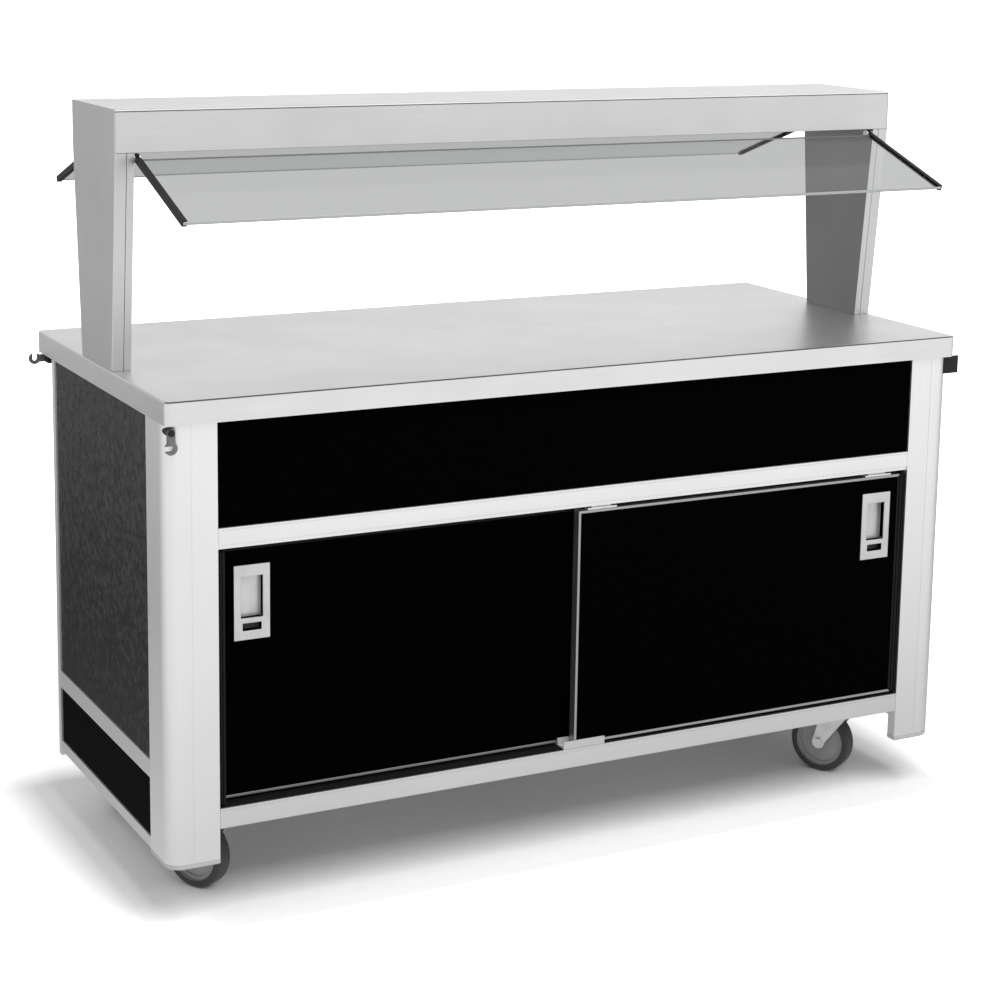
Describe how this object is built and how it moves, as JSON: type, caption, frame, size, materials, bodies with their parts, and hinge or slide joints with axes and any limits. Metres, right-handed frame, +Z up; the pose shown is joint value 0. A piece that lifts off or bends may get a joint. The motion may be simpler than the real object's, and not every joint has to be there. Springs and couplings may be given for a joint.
{
  "type": "mobile serving counter",
  "caption": "Mobile serving counter on swivel casters: steel worktop, black cabinet with sliding doors, and a canopy with hinged clear guards.",
  "frame": {"origin": "middle of the footprint, on the floor under the wheels", "axes": "+X along the counter towards the catches, -Y towards the front with the doors, +Z up"},
  "size_m": [1.64, 0.73, 1.367],
  "materials": {
    "stainless": "satin stainless sheet",
    "frame_steel": "grey painted steel tube",
    "aluminium": "satin anodised extrusion",
    "laminate": "black laminate on board",
    "board": "plain board",
    "plastic": "moulded black plastic",
    "rubber": "black rubber strip",
    "pull_metal": "satin flush pull",
    "hardware": "zinc plated steel",
    "black_steel": "black coated steel",
    "guard_clear": "clear panel, polished edges",
    "wheel": "grey hub with a dark tread"
  },
  "bodies": {
    "cabinet": {"countertop": "stainless", "counter_core": "board", "counter_channels": "frame_steel", "upper_frame": "frame_steel", "base_frame": "frame_steel", "front_post_left": "aluminium", "front_post_right": "aluminium", "back_posts": "aluminium", "post_caps": "plastic", "mid_rail_front": "aluminium", "bottom_rail_front": "aluminium", "upper_panel_front": "laminate", "end_panel_left": "laminate", "end_panel_right": "laminate", "skirt_panels": "laminate", "end_rails": "aluminium", "back_panels": "laminate", "back_rails": "aluminium", "storage_floor": "board", "storage_divider": "board", "storage_shelves": "board", "shelf_standards": "aluminium", "door_track": "aluminium", "door_guide": "plastic", "door_bumpers": "rubber", "canopy_frame": "frame_steel", "column_left": "stainless", "column_right": "stainless", "column_cover_left": "stainless", "column_cover_right": "stainless", "header_shell": "stainless", "header_lid": "stainless", "guard_pivots": "hardware", "hook_mounts": "black_steel", "catch_plates": "black_steel", "caster_plates": "hardware"},
    "door_left": {"door_left": "laminate", "door_left_trim": "aluminium", "door_left_pull": "pull_metal", "door_left_hangers": "hardware"},
    "door_right": {"door_right": "laminate", "door_right_trim": "aluminium", "door_right_pull": "pull_metal", "door_right_hangers": "hardware"},
    "guard_front": {"guard_glass_front": "guard_clear", "guard_arms_front": "black_steel"},
    "guard_back": {"guard_glass_back": "guard_clear", "guard_arms_back": "black_steel"},
    "hook_front": {"hook_front": "hardware"},
    "hook_back": {"hook_back": "hardware"},
    "caster_front_left": {"caster_fork_front_left": "hardware"},
    "wheel_front_left": {"caster_wheel_front_left": "wheel"},
    "caster_front_right": {"caster_fork_front_right": "hardware"},
    "wheel_front_right": {"caster_wheel_front_right": "wheel"},
    "caster_back_left": {"caster_fork_back_left": "hardware"},
    "wheel_back_left": {"caster_wheel_back_left": "wheel"},
    "caster_back_right": {"caster_fork_back_right": "hardware"},
    "wheel_back_right": {"caster_wheel_back_right": "wheel"},
    "pedal_left": {"caster_pedal_left": "black_steel"},
    "pedal_right": {"caster_pedal_right": "black_steel"}
  },
  "joints": [
    {"name": "door_left_slide", "type": "slide", "parent": "cabinet", "child": "door_left", "axis": [1, 0, 0], "range_m": [0, 0.67]},
    {"name": "door_right_slide", "type": "slide", "parent": "cabinet", "child": "door_right", "axis": [1, 0, 0], "range_m": [-0.67, 0]},
    {"name": "guard_front_hinge", "type": "hinge", "parent": "cabinet", "child": "guard_front", "pos_m": [0, -0.11, 1.284], "axis": [1, 0, 0], "range_deg": [-25, 65]},
    {"name": "guard_back_hinge", "type": "hinge", "parent": "cabinet", "child": "guard_back", "pos_m": [0, 0.11, 1.284], "axis": [-1, 0, 0], "range_deg": [-25, 65]},
    {"name": "hook_front_hinge", "type": "hinge", "parent": "cabinet", "child": "hook_front", "pos_m": [-0.789, -0.36, 0.862], "axis": [0, 1, 0], "range_deg": [0, 90]},
    {"name": "hook_back_hinge", "type": "hinge", "parent": "cabinet", "child": "hook_back", "pos_m": [-0.783, 0.354, 0.862], "axis": [0, 1, 0], "range_deg": [-90, 0]},
    {"name": "swivel_front_left", "type": "hinge", "parent": "cabinet", "child": "caster_front_left", "pos_m": [-0.67, -0.225, 0.15], "axis": [0, 0, 1], "continuous": true},
    {"name": "roll_front_left", "type": "hinge", "parent": "caster_front_left", "child": "wheel_front_left", "pos_m": [-0.689, -0.19209, 0.0625], "axis": [-0.866, -0.5, 0], "continuous": true},
    {"name": "swivel_front_right", "type": "hinge", "parent": "cabinet", "child": "caster_front_right", "pos_m": [0.67, -0.225, 0.15], "axis": [0, 0, 1], "continuous": true},
    {"name": "roll_front_right", "type": "hinge", "parent": "caster_front_right", "child": "wheel_front_right", "pos_m": [0.651, -0.19209, 0.0625], "axis": [-0.866, -0.5, 0], "continuous": true},
    {"name": "swivel_back_left", "type": "hinge", "parent": "cabinet", "child": "caster_back_left", "pos_m": [-0.67, 0.148, 0.15], "axis": [0, 0, 1], "continuous": true},
    {"name": "roll_back_left", "type": "hinge", "parent": "caster_back_left", "child": "wheel_back_left", "pos_m": [-0.689, 0.18091, 0.0625], "axis": [-0.866, -0.5, 0], "continuous": true},
    {"name": "swivel_back_right", "type": "hinge", "parent": "cabinet", "child": "caster_back_right", "pos_m": [0.67, 0.148, 0.15], "axis": [0, 0, 1], "continuous": true},
    {"name": "roll_back_right", "type": "hinge", "parent": "caster_back_right", "child": "wheel_back_right", "pos_m": [0.651, 0.18091, 0.0625], "axis": [-0.866, -0.5, 0], "continuous": true},
    {"name": "pedal_left_hinge", "type": "hinge", "parent": "caster_back_left", "child": "pedal_left", "pos_m": [-0.684, 0.17225, 0.133], "axis": [-0.866, -0.5, 0], "range_deg": [-15, 0]},
    {"name": "pedal_right_hinge", "type": "hinge", "parent": "caster_back_right", "child": "pedal_right", "pos_m": [0.656, 0.17225, 0.133], "axis": [-0.866, -0.5, 0], "range_deg": [-15, 0]}
  ]
}
